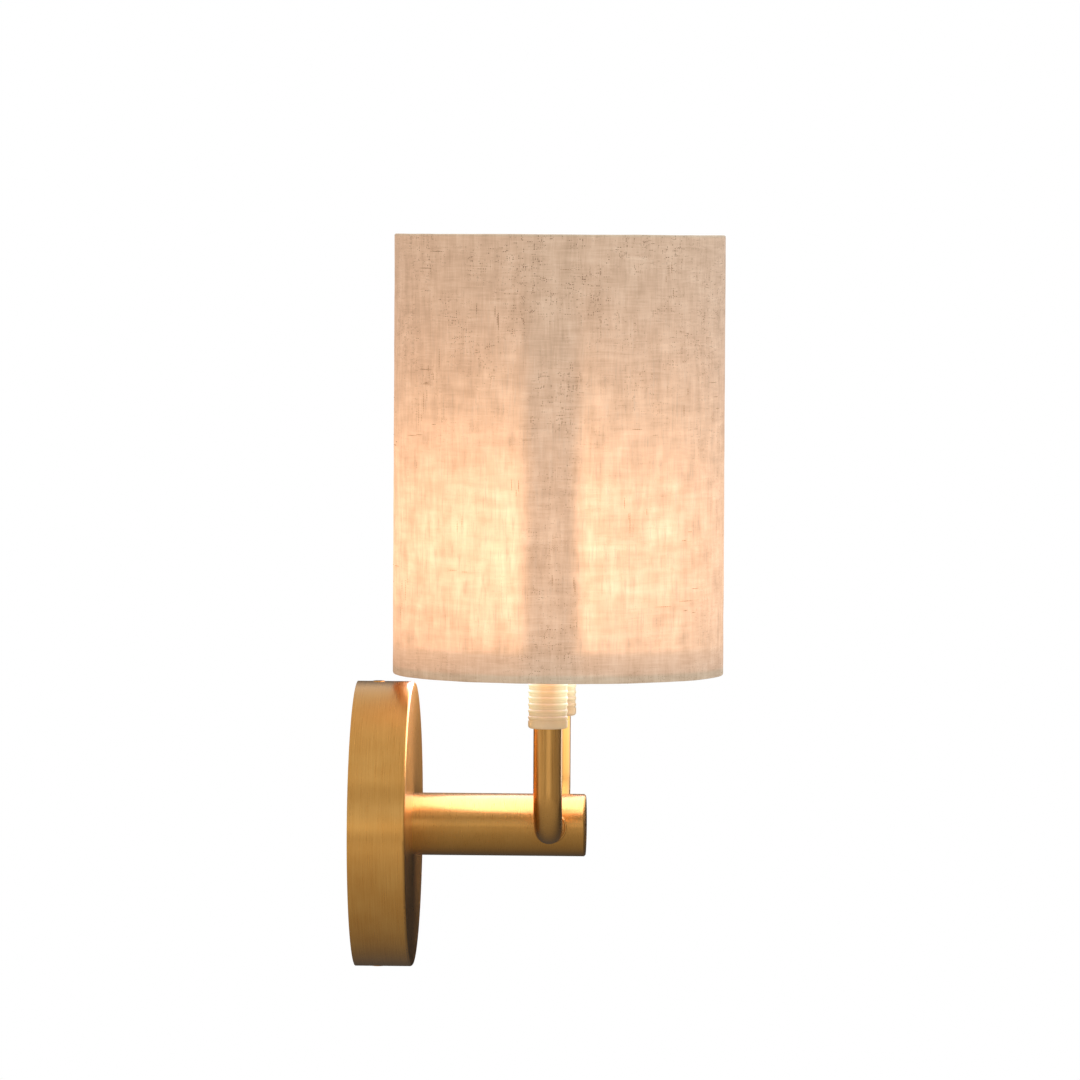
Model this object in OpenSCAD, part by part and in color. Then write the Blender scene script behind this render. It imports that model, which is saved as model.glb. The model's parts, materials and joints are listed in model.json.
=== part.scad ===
// Two-light wall sconce with a linen drum shade on satin brass tubes.
// The wall is the plane x = 0, +X points into the room and +Z points up.
// Left and right are those of someone who stands in the room and faces the wall.

/* [Wall plate] */
// Diameter of the round wall plate
plate_d = 160; // [130:1:200]
// Depth of the wall plate, from the wall to its face
plate_depth = 32; // [30:1:45]
// Thickness of the plate's drawn brass
plate_wall = 1.2; // [0.8:0.1:2]
// Radius on the front edge of the plate
plate_edge_r = 1.5; // [0.8:0.1:3]

/* [Wall bracket] */
// Width of the bracket strip
bracket_w = 24; // [20:1:30]
// Thickness of the bracket strip
bracket_t = 2; // [1.5:0.1:3]
// Width of the bent ears that hold the plate
ear_w = 16; // [12:1:20]
// Length of the ears, from the wall
ear_len = 19; // [17:1:22]
// Distance between the centres of the two fixing slots
slot_pitch = 70; // [62:1:80]
// Width of a fixing slot
slot_w = 5; // [4:0.5:6]
// Length of a fixing slot, end to end
slot_len = 16; // [10:1:18]
// Diameter of the supply cable's hole
cable_hole_d = 12; // [8:1:14]
// Distance of the earth screw below the centre
earth_drop = 16; // [14:1:18]
// Distance of the side screws from the wall
side_screw_x = 12; // [10:1:13]
// Thread diameter of the side screws and the earth screw
screw_d = 4; // [3:0.5:5]
// Head diameter of the side screws
side_head_d = 6.4; // [6:0.2:8]
// Head diameter of the earth screw
earth_head_d = 7.4; // [7:0.2:8]

/* [Terminal block] */
// Number of poles in the terminal block
pole_count = 3; // [2:1:4]
// Distance between two poles
pole_pitch = 10; // [8:0.5:10]
// Height of the terminal block along the bracket
block_h = 16; // [14:1:17]
// Depth of the terminal block, from the bracket
block_t = 12; // [11:0.5:13]
// Depth of the rail that joins the block's towers
rail_t = 7.8; // [6.8:0.2:9]

/* [Arm] */
// Diameter of the arm
arm_d = 35; // [32:1:40]
// Wall of the arm's tube
arm_wall = 1.5; // [1:0.1:2.5]
// Distance of the arm's end from the wall
arm_reach = 128.5; // [112:0.5:150]
// Thickness of the cap on the arm's end
cap_t = 1.6; // [1:0.1:3]
// Chamfer on the cap's rim
cap_chamfer = 0.8; // [0.3:0.1:0.9]
// Depth of the cap's spigot inside the tube
cap_spigot = 5; // [2:0.5:7]
// Thickness of the threaded plug in the arm's root
root_plug_t = 8; // [5:0.5:12]
// Thread diameter of the hollow nipples
nipple_d = 10; // [9.6:0.1:10.4]
// Wall of the hollow nipples
nipple_wall = 0.8; // [0.6:0.1:0.9]
// Thickness of the lock nut inside the plate
lock_nut_t = 5; // [3:0.5:6]
// Distance across the flats of the lock nut
lock_nut_af = 14; // [13:0.5:17]
// Diameter of the washer under the lock nut
washer_d = 28; // [20:1:34]
// Thickness of that washer
washer_t = 1.5; // [1:0.1:2]

/* [Elbow tubes] */
// Distance of the upright tubes back from the arm's end
holder_setback = 19; // [16.5:0.5:24]
// Distance between the two upright tubes
holder_spacing = 108; // [98:1:114]
// Diameter of the elbow tubes
tube_d = 16; // [15:0.5:18]
// Wall of the elbow tubes
tube_wall = 1; // [0.8:0.1:1.2]
// Radius of the bend along its centre line
bend_r = 22; // [20:0.5:24]
// Height of the tubes' upper ends above the arm's axis
tube_top_z = 58; // [52:1:74]
// Length of the threaded bush in each upper end
bush_len = 9; // [6:0.5:12]

/* [Lampholders] */
// Diameter of a lampholder across its ribs
holder_d = 22; // [21.6:0.1:23]
// Height of a lampholder
holder_h = 42; // [41.5:0.5:45]
// Thickness of a lampholder's floor
holder_floor = 6; // [5:0.5:8]
// Radius round a lampholder's foot
foot_r = 1.7; // [1:0.1:2.5]
// Distance between two ribs
rib_pitch = 3.6; // [3:0.1:4.5]
// Height of the ribs above the barrel
rib_depth = 0.4; // [0.3:0.1:0.9]
// Height of the first rib above the foot
rib_start = 6.1; // [4.5:0.1:8]
// Height of the shade's seat above the foot
seat_z = 34; // [32:0.5:34.5]
// Thickness of the seat's flange
flange_t = 2; // [1.5:0.1:3]
// Diameter of the seat's flange
flange_d = 28; // [27:0.5:32]
// Height of the insulating insert on the floor
insert_h = 4; // [3:0.5:5]
// Radial depth of the rolled screw thread
thread_depth = 0.5; // [0.3:0.05:0.6]
// Pitch of the rolled screw thread
thread_pitch = 2.8; // [2.4:0.1:3.2]
// Sheet thickness of the screw shell
shell_wall = 0.3; // [0.2:0.05:0.35]
// Height of the screw shell
shell_h = 26; // [20:1:28]
// Height of the sprung centre contact
contact_h = 1.6; // [1.2:0.1:2]

/* [Lamps] */
// Diameter of a lamp's glass tube
lamp_d = 20; // [18:0.5:20.4]
// Height of the glass above the lampholder
lamp_h = 113; // [80:1:140]
// Wall of the glass
glass_wall = 0.8; // [0.5:0.1:1.2]
// Diameter of the screw base across its thread
base_d = 13.1; // [12.6:0.1:13.2]
// Length of the screw base
base_h = 24; // [20:0.5:26]
// Length of the light strips
strip_len = 64; // [40:1:70]
// Number of the light strips
strip_count = 4; // [3:1:6]
// Diameter of a light strip
strip_d = 1.8; // [1.2:0.1:2]
// Radius of the circle in which the strips stand
strip_circle_r = 4; // [3:0.2:5]

/* [Shade] */
// Diameter of the shade
shade_d = 185; // [180:1:210]
// Height of the shade
shade_h = 246; // [200:1:280]
// How far the shade's axis stands out past the lampholders
shade_offset = 3; // [0:0.5:4]
// Thickness of the linen with its paste
linen_t = 0.6; // [0.4:0.1:1]
// Thickness of the stiff liner
liner_t = 0.4; // [0.3:0.05:0.8]
// Wire diameter of the lower ring
low_wire_d = 4; // [3:0.5:5]
// Wire diameter of the upper ring
top_wire_d = 3; // [2.5:0.5:4]
// Height of the hem that is turned in at the lower edge
low_hem = 17; // [15:1:24]
// Height of the hem that is turned in at the upper edge
top_hem = 12; // [10:1:20]
// How far the shade's lower edge hangs below the fitter
shade_drop = 7; // [6.5:0.5:12]
// Width of the fitter's bar
fitter_bar_w = 10; // [8:0.5:14]
// Thickness of the fitter
fitter_t = 2; // [1.5:0.1:2.5]
// Width of the fitter's two rings around the holes
fitter_land = 5; // [4:0.5:6]
// Height of a ring nut
nut_h = 5.5; // [4:0.5:5.5]
// Diameter of a ring nut
nut_d = 32; // [30:0.5:36]
// Number of grip flutes round a ring nut
nut_flutes = 20; // [12:1:24]
// Radius of a grip flute
flute_r = 1.4; // [1:0.1:1.6]

/* [Inner leads] */
// Diameter of an inner lead
lead_d = 3.8; // [3:0.1:3.9]
// Radius of a lead's bend inside the arm
lead_bend_r = 10; // [8:0.5:11]
// Radius of a lead's bend below the terminal block
lead_turn_r = 6; // [5:0.5:7]

/* [Fits] */
// Radial clearance of parts that slide or screw into each other
run_fit = 0.05; // [0.03:0.01:0.08]
// Gap beside parts that only pass each other
pass_gap = 0.3; // [0.2:0.05:0.4]

/* [Hidden] */
$fn = 96;

brass = [0.78, 0.58, 0.29];
bare_brass = [0.85, 0.69, 0.36];
zinc = [0.72, 0.73, 0.74];
linen = [0.86, 0.76, 0.63];

holder_x = arm_reach - holder_setback;
cut = 1;
wall_gap = 0.2;

plate_r = plate_d / 2;
plate_inner_r = plate_r - plate_wall;
plate_inner_x = plate_depth - plate_wall;
ear_z = sqrt(pow(plate_inner_r - pass_gap, 2) - pow(ear_w / 2, 2));
ear_taper = 12;
screw_r = screw_d / 2;
screw_reach = bracket_t + 3;
driver_slot_w = 1;
driver_slot_depth = 1.2;
side_head_r = side_head_d / 2;
side_head_proud = 0.3;
socket_af = 2.5;
socket_depth = 1.3;
rail_end = 1;
block_w = pole_count * pole_pitch + 2 * rail_end;
block_lift = 2.5;
block_z = cable_hole_d / 2 + block_lift;
block_mid_z = block_z + block_h / 2;
block_front_x = bracket_t + block_t;
tower_gap = 1.4;
well_d = 5;
well_depth = 3;
supply_hole_d = 3.4;
supply_hole_depth = 4;
lead_mouth_depth = 3;
clamp_screw_t = 1.6;
clamp_slot_w = 0.8;
clamp_slot_depth = 0.6;
earth_washer_t = 0.8;
earth_washer_rim = 0.8;
earth_head_h = 2.4;

arm_r = arm_d / 2;
arm_bore_r = arm_r - arm_wall;
arm_tube_end = arm_reach - cap_t;
nipple_r = nipple_d / 2;
nipple_bore_r = nipple_r - nipple_wall;
nipple_hole_r = nipple_r + pass_gap;
lock_nut_x = plate_inner_x - washer_t - lock_nut_t;
nipple_proud = 4;
nipple_start_x = lock_nut_x - nipple_proud;
spigot_wall = 2;

tube_r = tube_d / 2;
tube_bore_r = tube_r - tube_wall;
holder_y = holder_spacing / 2;
leg_end = holder_y - bend_r;
leg_proud = 1;
leg_start = arm_bore_r - leg_proud;
nipple_engage = bush_len - 2;

holder_r = holder_d / 2;
barrel_r = holder_r - rib_depth;
rib_fullness = 0.42;
rib_r = rib_pitch * rib_fullness;
rib_count = floor((seat_z - flange_t - rib_start - rib_r) / rib_pitch) + 1;
base_r = base_d / 2;
shell_inner_r = base_r + run_fit;
socket_r = shell_inner_r + thread_depth + shell_wall + run_fit;
insert_z = holder_floor + insert_h;
contact_w = 3;
contact_t = 0.6;
contact_back = 2;
tip_z = insert_z + contact_h;
tip_h = 1.5;
tip_r = 2.3;
cone_h = 2;
cone_r = 2.9;
thread_z = tip_z + tip_h + cone_h;

lamp_r = lamp_d / 2;
base_rim = 0.4;
neck_r = base_r - thread_depth - base_rim;
neck_depth = 3;
neck_z = thread_z + base_h - neck_depth;
shoulder_r = lamp_r - neck_r;
shoulder_z = holder_h + shoulder_r + 1.5;
lamp_top_z = holder_h + lamp_h;
crown_t = 0.8;
crown_rim = 0.2;
strip_drop = 4;
strip_z = (shoulder_z + lamp_top_z - strip_len) / 2 - strip_drop;
stem_foot_t = 2;
stem_r = 1.8;
stem_wire_r = 0.5;

shade_r = shade_d / 2;
shade_x = holder_x + shade_offset;
fitter_z = tube_top_z + seat_z;
shade_z0 = fitter_z - shade_drop;
linen_edge_r = linen_t * 1.5;
liner_outer_r = shade_r - linen_t;
liner_inner_r = liner_outer_r - liner_t;
low_wire_r = low_wire_d / 2;
low_ring_r = liner_inner_r - low_wire_r;
low_ring_z = shade_z0 + linen_t + low_wire_r;
top_wire_r = top_wire_d / 2;
top_ring_r = liner_inner_r - top_wire_r;
top_ring_z = shade_z0 + shade_h - linen_t - top_wire_r;
fitter_hole_r = holder_r + 2 * pass_gap;
fitter_land_r = fitter_hole_r + fitter_land;
fitter_end_y = sqrt(pow(low_ring_r, 2) - pow(shade_offset, 2)) + fitter_t / 4;

nut_r = nut_d / 2;
nut_bore_r = holder_r + run_fit;
nut_z = seat_z + fitter_t;
nut_skirt_h = 1.6;
nut_step = 1.5;

lead_r = lead_d / 2;
lead_gap = 0.2;
lead_y = (lead_d + lead_gap) / 2;
lead_lift = 2;
lead_x = bracket_t + lead_lift + lead_r;
lead_engage = 2;

// Turns a half section of radius and distance from the wall about the arm's axis
module turn_x() { rotate([0, 90, 0]) rotate_extrude() children(); }

// A cylinder along +X that starts at x
module rod_x(x, r, h) { translate([x, 0, 0]) rotate([0, 90, 0]) cylinder(r = r, h = h); }

// A hollow cylinder along +Z between two heights
module sleeve(r0, r1, z0, z1) {
    translate([0, 0, z0]) difference() {
        cylinder(r = r1, h = z1 - z0);
        translate([0, 0, -cut]) cylinder(r = r0, h = z1 - z0 + 2 * cut);
    }
}

// Puts a shape on the left upright tube's end
module at_left() { translate([holder_x, -holder_y, tube_top_z]) children(); }

// Puts the same shape on the right upright tube's end
module at_right() { mirror([0, 1, 0]) at_left() children(); }

// Wall bracket: a strip with two bent ears, seen from the side
module bracket_profile() {
    difference() {
        translate([0, -ear_z]) square([ear_len, 2 * ear_z]);
        translate([bracket_t, bracket_t - ear_z]) square([ear_len, 2 * (ear_z - bracket_t)]);
    }
}

// The strip from the front, which narrows towards the ears
module bracket_front() {
    half = bracket_w / 2;
    ear = ear_w / 2;
    knee = ear_z - ear_taper;
    polygon([[-ear, -ear_z], [ear, -ear_z], [half, -knee], [half, knee],
        [ear, ear_z], [-ear, ear_z], [-half, knee], [-half, -knee]]);
}

// A fixing slot that runs along the strip
module slot_outline() {
    for (s = [-1, 1]) translate([0, s * (slot_len - slot_w) / 2]) circle(d = slot_w);
    square([slot_w, slot_len - slot_w], center = true);
}

module wall_bracket() {
    color(zinc) difference() {
        intersection() {
            rotate([90, 0, 0]) translate([0, 0, -bracket_w / 2])
                linear_extrude(bracket_w) bracket_profile();
            rotate([90, 0, 90]) linear_extrude(ear_len) bracket_front();
        }
        for (s = [-1, 1]) translate([-cut, 0, s * slot_pitch / 2])
            rotate([90, 0, 90]) linear_extrude(bracket_t + 2 * cut) slot_outline();
        rod_x(-cut, cable_hole_d / 2, bracket_t + 2 * cut);
        translate([0, 0, -earth_drop]) rod_x(-cut, screw_r, bracket_t + 2 * cut);
        translate([side_screw_x, 0, -ear_z - cut]) cylinder(r = screw_r, h = 2 * (ear_z + cut));
    }
}

// The plate is a drawn cup with a rounded front edge
module backplate_cover() {
    color(brass) difference() {
        turn_x() {
            square([plate_r, plate_depth - plate_edge_r]);
            square([plate_r - plate_edge_r, plate_depth]);
            translate([plate_r - plate_edge_r, plate_depth - plate_edge_r])
                circle(r = plate_edge_r);
        }
        rod_x(-cut, plate_inner_r, plate_inner_x + cut);
        rod_x(0, nipple_hole_r, plate_depth + cut);
        translate([side_screw_x, 0, -plate_r - cut])
            cylinder(r = side_head_r + run_fit, h = 2 * (plate_r + cut));
    }
}

// A flush screw that pins the plate's rim to an ear of the bracket
module side_screw() {
    top = plate_r + side_head_proud;
    difference() {
        union() {
            translate([0, 0, ear_z]) cylinder(r = side_head_r, h = top - ear_z);
            translate([0, 0, ear_z - screw_reach]) cylinder(r = screw_r - run_fit, h = screw_reach);
        }
        translate([0, 0, top - socket_depth])
            cylinder(d = socket_af / cos(30), h = socket_depth + cut, $fn = 6);
    }
}

module cover_screws() {
    color(brass) for (a = [0, 180])
        translate([side_screw_x, 0, 0]) rotate([a, 0, 0]) side_screw();
}

// Screw and washer for the earth wire
module earth_screw() {
    head_x = bracket_t + earth_washer_t;
    head_r = earth_head_d / 2;
    color(bare_brass) translate([0, 0, -earth_drop]) difference() {
        union() {
            rod_x(bracket_t, head_r + earth_washer_rim, earth_washer_t);
            rod_x(head_x, head_r, earth_head_h);
            rod_x(wall_gap, screw_r - run_fit, head_x);
        }
        translate([head_x + earth_head_h, 0, 0])
            cube([2 * driver_slot_depth, driver_slot_w, earth_head_d + cut], center = true);
    }
}

// Place of a pole along the terminal block
function pole_y(i) = (i - (pole_count - 1) / 2) * pole_pitch;

// An insulating rail with a round tower and a screw well for each pole
module terminal_block() {
    color("ivory") difference() {
        union() {
            translate([bracket_t, -block_w / 2, block_z]) cube([rail_t, block_w, block_h]);
            for (i = [0:pole_count - 1]) translate([0, pole_y(i), block_mid_z])
                rod_x(bracket_t, (pole_pitch - tower_gap) / 2, block_t);
        }
        for (i = [0:pole_count - 1]) translate([0, pole_y(i), 0]) {
            translate([0, 0, block_mid_z])
                rod_x(block_front_x - well_depth, well_d / 2, well_depth + cut);
            translate([lead_x, 0, block_z + block_h - supply_hole_depth])
                cylinder(d = supply_hole_d, h = supply_hole_depth + cut);
        }
        for (s = [-1, 1]) translate([lead_x, s * lead_y, block_z - cut])
            cylinder(r = lead_r + pass_gap, h = lead_mouth_depth + cut);
    }
}

module terminal_screws() {
    floor_x = block_front_x - well_depth;
    color(bare_brass) for (i = [0:pole_count - 1]) translate([0, pole_y(i), block_mid_z])
        difference() {
            rod_x(floor_x, well_d / 2 - pass_gap, clamp_screw_t);
            translate([floor_x + clamp_screw_t, 0, 0])
                cube([2 * clamp_slot_depth, clamp_slot_w, well_d], center = true);
        }
}

// The arm is a tube with a cross hole for the two elbow tubes
module arm_tube() {
    color(brass) difference() {
        rod_x(plate_depth, arm_r, arm_tube_end - plate_depth);
        rod_x(plate_depth - cut, arm_bore_r, arm_tube_end - plate_depth + 2 * cut);
        translate([holder_x, 0, 0]) rotate([90, 0, 0])
            cylinder(r = tube_r + run_fit, h = arm_d + 2 * cut, center = true);
    }
}

module arm_root_plug() {
    color(brass) difference() {
        rod_x(plate_depth, arm_bore_r, root_plug_t);
        rod_x(plate_depth - cut, nipple_r, root_plug_t + 2 * cut);
    }
}

module arm_nipple() {
    length = plate_depth + root_plug_t - nipple_start_x;
    color(bare_brass) difference() {
        rod_x(nipple_start_x, nipple_r - run_fit, length);
        rod_x(nipple_start_x - cut, nipple_bore_r, length + 2 * cut);
    }
}

module arm_washer() {
    color(zinc) difference() {
        rod_x(plate_inner_x - washer_t, washer_d / 2, washer_t);
        rod_x(0, nipple_hole_r, plate_depth);
    }
}

module arm_lock_nut() {
    color(bare_brass) difference() {
        translate([lock_nut_x, 0, 0]) rotate([0, 90, 0])
            cylinder(d = lock_nut_af / cos(30), h = lock_nut_t, $fn = 6);
        rod_x(0, nipple_r, plate_depth);
    }
}

// A chamfered disc with a hollow spigot that closes the arm
module arm_end_cap() {
    spigot_r = arm_bore_r - run_fit;
    color(brass) turn_x() difference() {
        union() {
            translate([0, arm_tube_end - cap_spigot]) square([spigot_r, cap_spigot]);
            translate([0, arm_tube_end]) square([arm_r, cap_t - cap_chamfer]);
            polygon([[0, arm_reach - cap_chamfer], [arm_r, arm_reach - cap_chamfer],
                [arm_r - cap_chamfer, arm_reach], [0, arm_reach]]);
        }
        translate([0, arm_tube_end - cap_spigot]) square([spigot_r - spigot_wall, cap_spigot]);
    }
}

// The left elbow's centre line as a solid of radius r, longer at both ends by extra
module elbow_path(r, extra = 0) {
    translate([holder_x, extra - leg_start, 0]) rotate([90, 0, 0])
        cylinder(r = r, h = leg_end - leg_start + extra);
    translate([holder_x, -leg_end, bend_r]) rotate([90, 0, 90]) rotate([0, 0, 180])
        rotate_extrude(angle = 90) translate([bend_r, 0]) circle(r = r);
    translate([holder_x, -holder_y, bend_r]) cylinder(r = r, h = tube_top_z - bend_r + extra);
}

module elbow_tube() {
    color(brass) difference() {
        elbow_path(tube_r);
        elbow_path(tube_bore_r, cut);
    }
}

// Threaded bushes in the tubes' upper ends
module elbow_bushes() {
    color(bare_brass) {
        at_left() sleeve(nipple_r, tube_bore_r, -bush_len, 0);
        at_right() sleeve(nipple_r, tube_bore_r, -bush_len, 0);
    }
}

module holder_nipples() {
    color(bare_brass) {
        at_left() sleeve(nipple_bore_r, nipple_r - run_fit, -nipple_engage, holder_floor);
        at_right() sleeve(nipple_bore_r, nipple_r - run_fit, -nipple_engage, holder_floor);
    }
}

// Half section of the outside: rounded foot, ribs, seat flange and smooth collar
module holder_outline() {
    square([holder_r - foot_r, foot_r]);
    translate([holder_r - foot_r, foot_r]) circle(r = foot_r);
    translate([0, foot_r]) square([holder_r, rib_start - rib_pitch / 2 - foot_r]);
    translate([0, foot_r]) square([barrel_r, holder_h - foot_r]);
    for (i = [0:rib_count - 1])
        translate([holder_r - rib_r, rib_start + i * rib_pitch]) circle(r = rib_r);
    translate([0, seat_z - flange_t]) square([flange_d / 2, flange_t]);
    translate([0, seat_z]) square([holder_r, holder_h - seat_z]);
}

module lampholder() {
    color("wheat") difference() {
        rotate_extrude() holder_outline();
        translate([0, 0, -cut]) cylinder(r = nipple_r, h = holder_floor + 2 * cut);
        translate([0, 0, holder_floor]) cylinder(r = socket_r, h = holder_h);
    }
}

module socket_insert() {
    color("white") sleeve(lead_r + pass_gap, socket_r - run_fit, holder_floor, insert_z);
}

// Thread section: quarter-pitch steps that stay two steps on the crest, two in the root
function thread_side(r, root, height) =
    [for (i = [0:floor(height / thread_pitch * 4)])
        [r + (i % 4 < 2 ? 0 : root), i * thread_pitch / 4]];
function reversed(points) = [for (i = [len(points) - 1:-1:0]) points[i]];

// Thin shell with a rolled thread that bulges outwards
module screw_shell() {
    inside = thread_side(shell_inner_r, thread_depth, shell_h);
    outside = thread_side(shell_inner_r + shell_wall, thread_depth, shell_h);
    color(bare_brass) translate([0, 0, insert_z]) rotate_extrude()
        polygon(concat(outside, reversed(inside)));
}

// A flat tongue with a raised pad under the lamp's tip
module centre_contact() {
    color(bare_brass) translate([0, 0, insert_z]) {
        translate([-contact_back, -contact_w / 2, 0]) cube([base_r, contact_w, contact_t]);
        cylinder(d = contact_w, h = contact_h);
    }
}

// Screw base with its insulating cone, its contact tip and a rim round the glass neck
module lamp_base() {
    side = thread_side(base_r, -thread_depth, base_h);
    top = side[len(side) - 1][1];
    color(zinc) difference() {
        union() {
            translate([0, 0, thread_z]) rotate_extrude()
                polygon(concat([[0, 0]], side, [[0, top]]));
            translate([0, 0, tip_z + tip_h])
                cylinder(r1 = cone_r, r2 = base_r - thread_depth, h = cone_h);
            translate([0, 0, tip_z]) cylinder(r = tip_r, h = tip_h);
        }
        translate([0, 0, neck_z]) cylinder(r = neck_r, h = base_h);
    }
}

// Half section of the glass, moved inwards by inset
module glass_outline(inset) {
    r = lamp_r - inset;
    translate([0, neck_z]) square([neck_r - inset, shoulder_z - neck_z]);
    translate([neck_r, shoulder_z]) circle(r = shoulder_r - inset);
    translate([0, shoulder_z]) square([r, lamp_top_z - lamp_r - shoulder_z]);
    translate([0, lamp_top_z - lamp_r]) intersection() {
        circle(r = r);
        square([r, r]);
    }
}

module lamp_glass() {
    color("white", 0.5) rotate_extrude() difference() {
        glass_outline(0);
        glass_outline(glass_wall);
    }
}

// A stem with two crowns that carry the light strips in a circle
module lamp_strips() {
    strip_r = strip_d / 2;
    crown_r = strip_circle_r + strip_r + crown_rim;
    wire_h = strip_z + strip_len + crown_t - neck_z;
    color("khaki") {
        translate([0, 0, neck_z]) cylinder(r = neck_r - glass_wall, h = stem_foot_t);
        translate([0, 0, neck_z]) cylinder(r = stem_r, h = strip_z - neck_z);
        translate([0, 0, neck_z]) cylinder(r = stem_wire_r, h = wire_h);
        for (z = [strip_z - crown_t, strip_z + strip_len]) translate([0, 0, z])
            cylinder(r = crown_r, h = crown_t);
        for (i = [0:strip_count - 1]) rotate([0, 0, i * 360 / strip_count])
            translate([strip_circle_r, 0, strip_z]) cylinder(r = strip_r, h = strip_len);
    }
}

// Half section of a turned-in linen edge round a wire ring, measured up from the edge
module folded_edge(wire_r, hem) {
    ring_r = liner_inner_r - wire_r;
    ring_z = linen_t + wire_r;
    over_z = ring_z + wire_r;
    difference() {
        union() {
            translate([ring_r, ring_z]) circle(r = wire_r + linen_t);
            translate([ring_r, 0]) square([shade_r - linen_edge_r - ring_r, ring_z]);
            translate([ring_r, linen_edge_r]) square([shade_r - ring_r, ring_z - linen_edge_r]);
            translate([shade_r - linen_edge_r, linen_edge_r]) circle(r = linen_edge_r);
        }
        translate([ring_r, ring_z]) circle(r = wire_r);
        translate([ring_r, linen_t]) square([liner_outer_r - ring_r, over_z]);
    }
    polygon([[ring_r, over_z], [liner_inner_r, over_z + linen_t], [liner_inner_r, hem],
        [liner_inner_r - linen_t, hem], [liner_inner_r - linen_t, over_z + 2 * linen_t],
        [ring_r, over_z + linen_t]]);
}

// Room in the lower fold for the end of the fitter's bar
module fitter_slit() {
    y0 = low_ring_r - low_wire_r - 2 * linen_t;
    y1 = fitter_end_y + pass_gap;
    slit_w = fitter_bar_w + 2 * pass_gap;
    for (s = [0, 1]) mirror([0, s, 0])
        translate([holder_x - slit_w / 2, y0, low_ring_z])
            cube([slit_w, y1 - y0, fitter_z - low_ring_z]);
}

// The linen wall is one cloth with a fold round the ring at each end
module shade_linen() {
    low_z = linen_t + low_wire_r;
    wall_h = shade_h - 2 * linen_t - low_wire_r - top_wire_r;
    color(linen) difference() {
        translate([shade_x, 0, shade_z0]) rotate_extrude() {
            folded_edge(low_wire_r, low_hem);
            translate([0, shade_h]) mirror([0, 1]) folded_edge(top_wire_r, top_hem);
            translate([liner_outer_r, low_z]) square([linen_t, wall_h]);
        }
        fitter_slit();
    }
}

module shade_liner() {
    color("whitesmoke") translate([shade_x, 0, shade_z0])
        sleeve(liner_inner_r, liner_outer_r, linen_t, shade_h - linen_t);
}

// A wire ring at a height
module wire_ring(ring_r, z, wire_r) {
    translate([shade_x, 0, z]) rotate_extrude() translate([ring_r, 0]) circle(r = wire_r);
}
module shade_bottom_ring() { color(zinc) wire_ring(low_ring_r, low_ring_z, low_wire_r); }
module shade_top_ring() { color(zinc) wire_ring(top_ring_r, top_ring_z, top_wire_r); }

// A bar with two rings that sit on the lampholders' flanges, and a tab at each end
module shade_fitter() {
    ring_top = low_ring_z + low_wire_r;
    color(zinc) {
        translate([holder_x, 0, fitter_z]) linear_extrude(fitter_t) difference() {
            union() {
                square([fitter_bar_w, 2 * fitter_end_y], center = true);
                for (s = [-1, 1]) translate([0, s * holder_y]) circle(r = fitter_land_r);
            }
            for (s = [-1, 1]) translate([0, s * holder_y]) circle(r = fitter_hole_r);
        }
        for (s = [0, 1]) mirror([0, s, 0])
            translate([holder_x - fitter_bar_w / 2, fitter_end_y - fitter_t, ring_top])
                cube([fitter_bar_w, fitter_t, fitter_z + fitter_t - ring_top]);
    }
}

// A ring nut with a skirt and grip flutes
module ring_nut() {
    grip_r = nut_r - nut_step;
    color("wheat") translate([0, 0, nut_z]) difference() {
        union() {
            cylinder(r = nut_r, h = nut_skirt_h);
            cylinder(r = grip_r, h = nut_h);
        }
        translate([0, 0, -cut]) cylinder(r = nut_bore_r, h = nut_h + 2 * cut);
        for (i = [0:nut_flutes - 1]) rotate([0, 0, i * 360 / nut_flutes])
            translate([grip_r + flute_r / 2, 0, nut_skirt_h]) cylinder(r = flute_r, h = nut_h);
    }
}

// A quarter bend of a lead, round the local Z axis
module quarter_bend(r) {
    rotate_extrude(angle = 90) translate([r, 0]) circle(r = lead_r, $fn = 32);
}

// The left lead, from the terminal block through the arm and the elbow to the contact
module lead() {
    straight_x = lead_x + lead_turn_r;
    turn_x = holder_x - lead_bend_r;
    color("whitesmoke") {
        translate([lead_x, -lead_y, lead_turn_r])
            cylinder(r = lead_r, h = block_z + lead_engage - lead_turn_r);
        translate([straight_x, -lead_y, lead_turn_r]) rotate([90, 0, 0]) rotate([0, 0, 180])
            quarter_bend(lead_turn_r);
        translate([0, -lead_y, 0]) rod_x(straight_x, lead_r, turn_x - straight_x);
        translate([turn_x, -lead_y - lead_bend_r, 0]) quarter_bend(lead_bend_r);
        translate([holder_x, -lead_y - lead_bend_r, 0]) rotate([90, 0, 0])
            cylinder(r = lead_r, h = leg_end - lead_y - lead_bend_r);
        translate([holder_x, -leg_end, bend_r]) rotate([90, 0, 90]) rotate([0, 0, 180])
            quarter_bend(bend_r);
        translate([holder_x, -holder_y, bend_r])
            cylinder(r = lead_r, h = tube_top_z + insert_z - bend_r);
    }
}

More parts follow.
